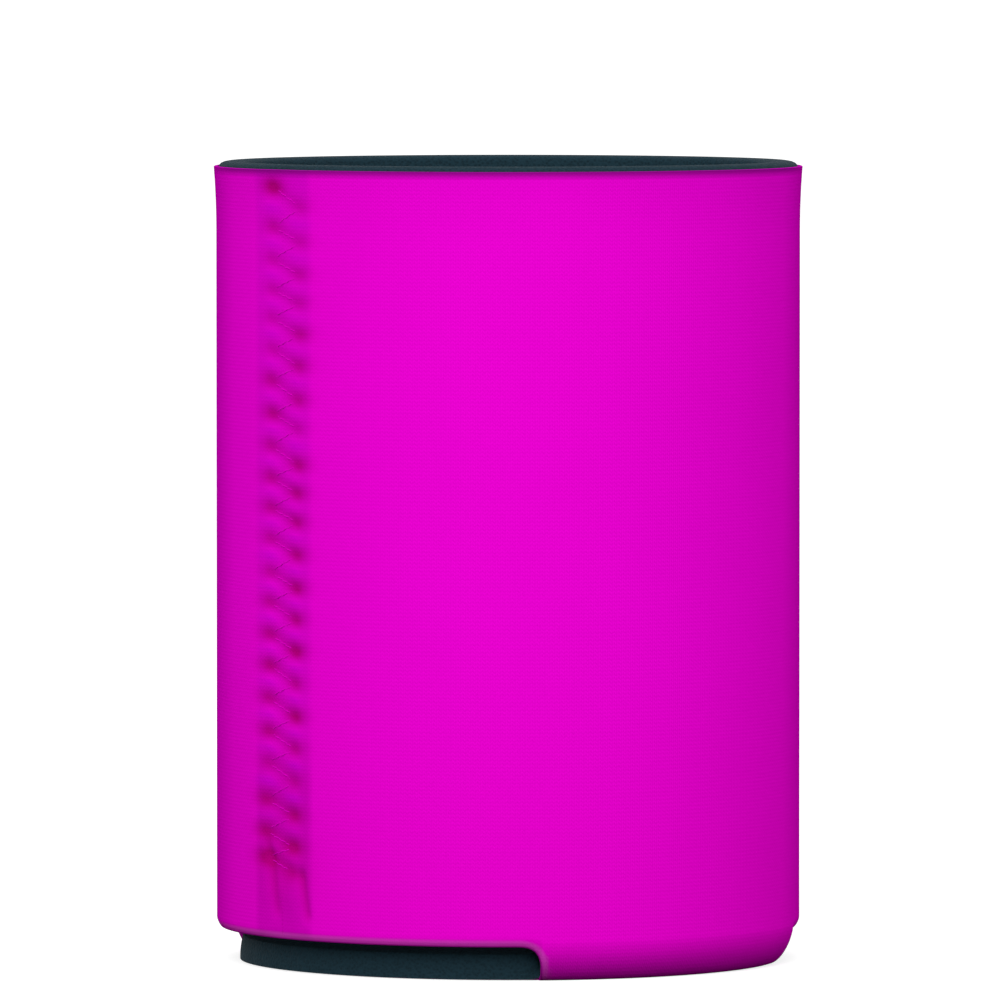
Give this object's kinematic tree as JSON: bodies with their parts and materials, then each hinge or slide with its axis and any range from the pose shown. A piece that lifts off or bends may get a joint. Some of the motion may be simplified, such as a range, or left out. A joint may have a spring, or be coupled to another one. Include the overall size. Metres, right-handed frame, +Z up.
{
  "type": "can cooler sleeve",
  "caption": "Round foam can cooler sleeve with a knitted face, a folded base with side cutouts, and a zigzag seam down each side.",
  "frame": {"origin": "centre of the base's underside, on which the sleeve stands", "axes": "+Z up along the sleeve's axis to its open mouth; +X through the right seam, -X through the left seam; the necks where the panels fold into the base are at +Y and -Y"},
  "size_m": [0.075, 0.075, 0.1018],
  "materials": {
    "magenta_knit": "matt, fine knit with a faint sheen",
    "magenta_thread": "twisted polyester sewing thread",
    "black_foam": "matt closed-cell foam"
  },
  "bodies": {
    "root": {"foam_body": "black_foam", "face_fabric": "magenta_knit", "left_seam_thread": "magenta_thread", "right_seam_thread": "magenta_thread", "left_seam_bobbin_thread": "magenta_thread", "right_seam_bobbin_thread": "magenta_thread"}
  },
  "joints": []
}
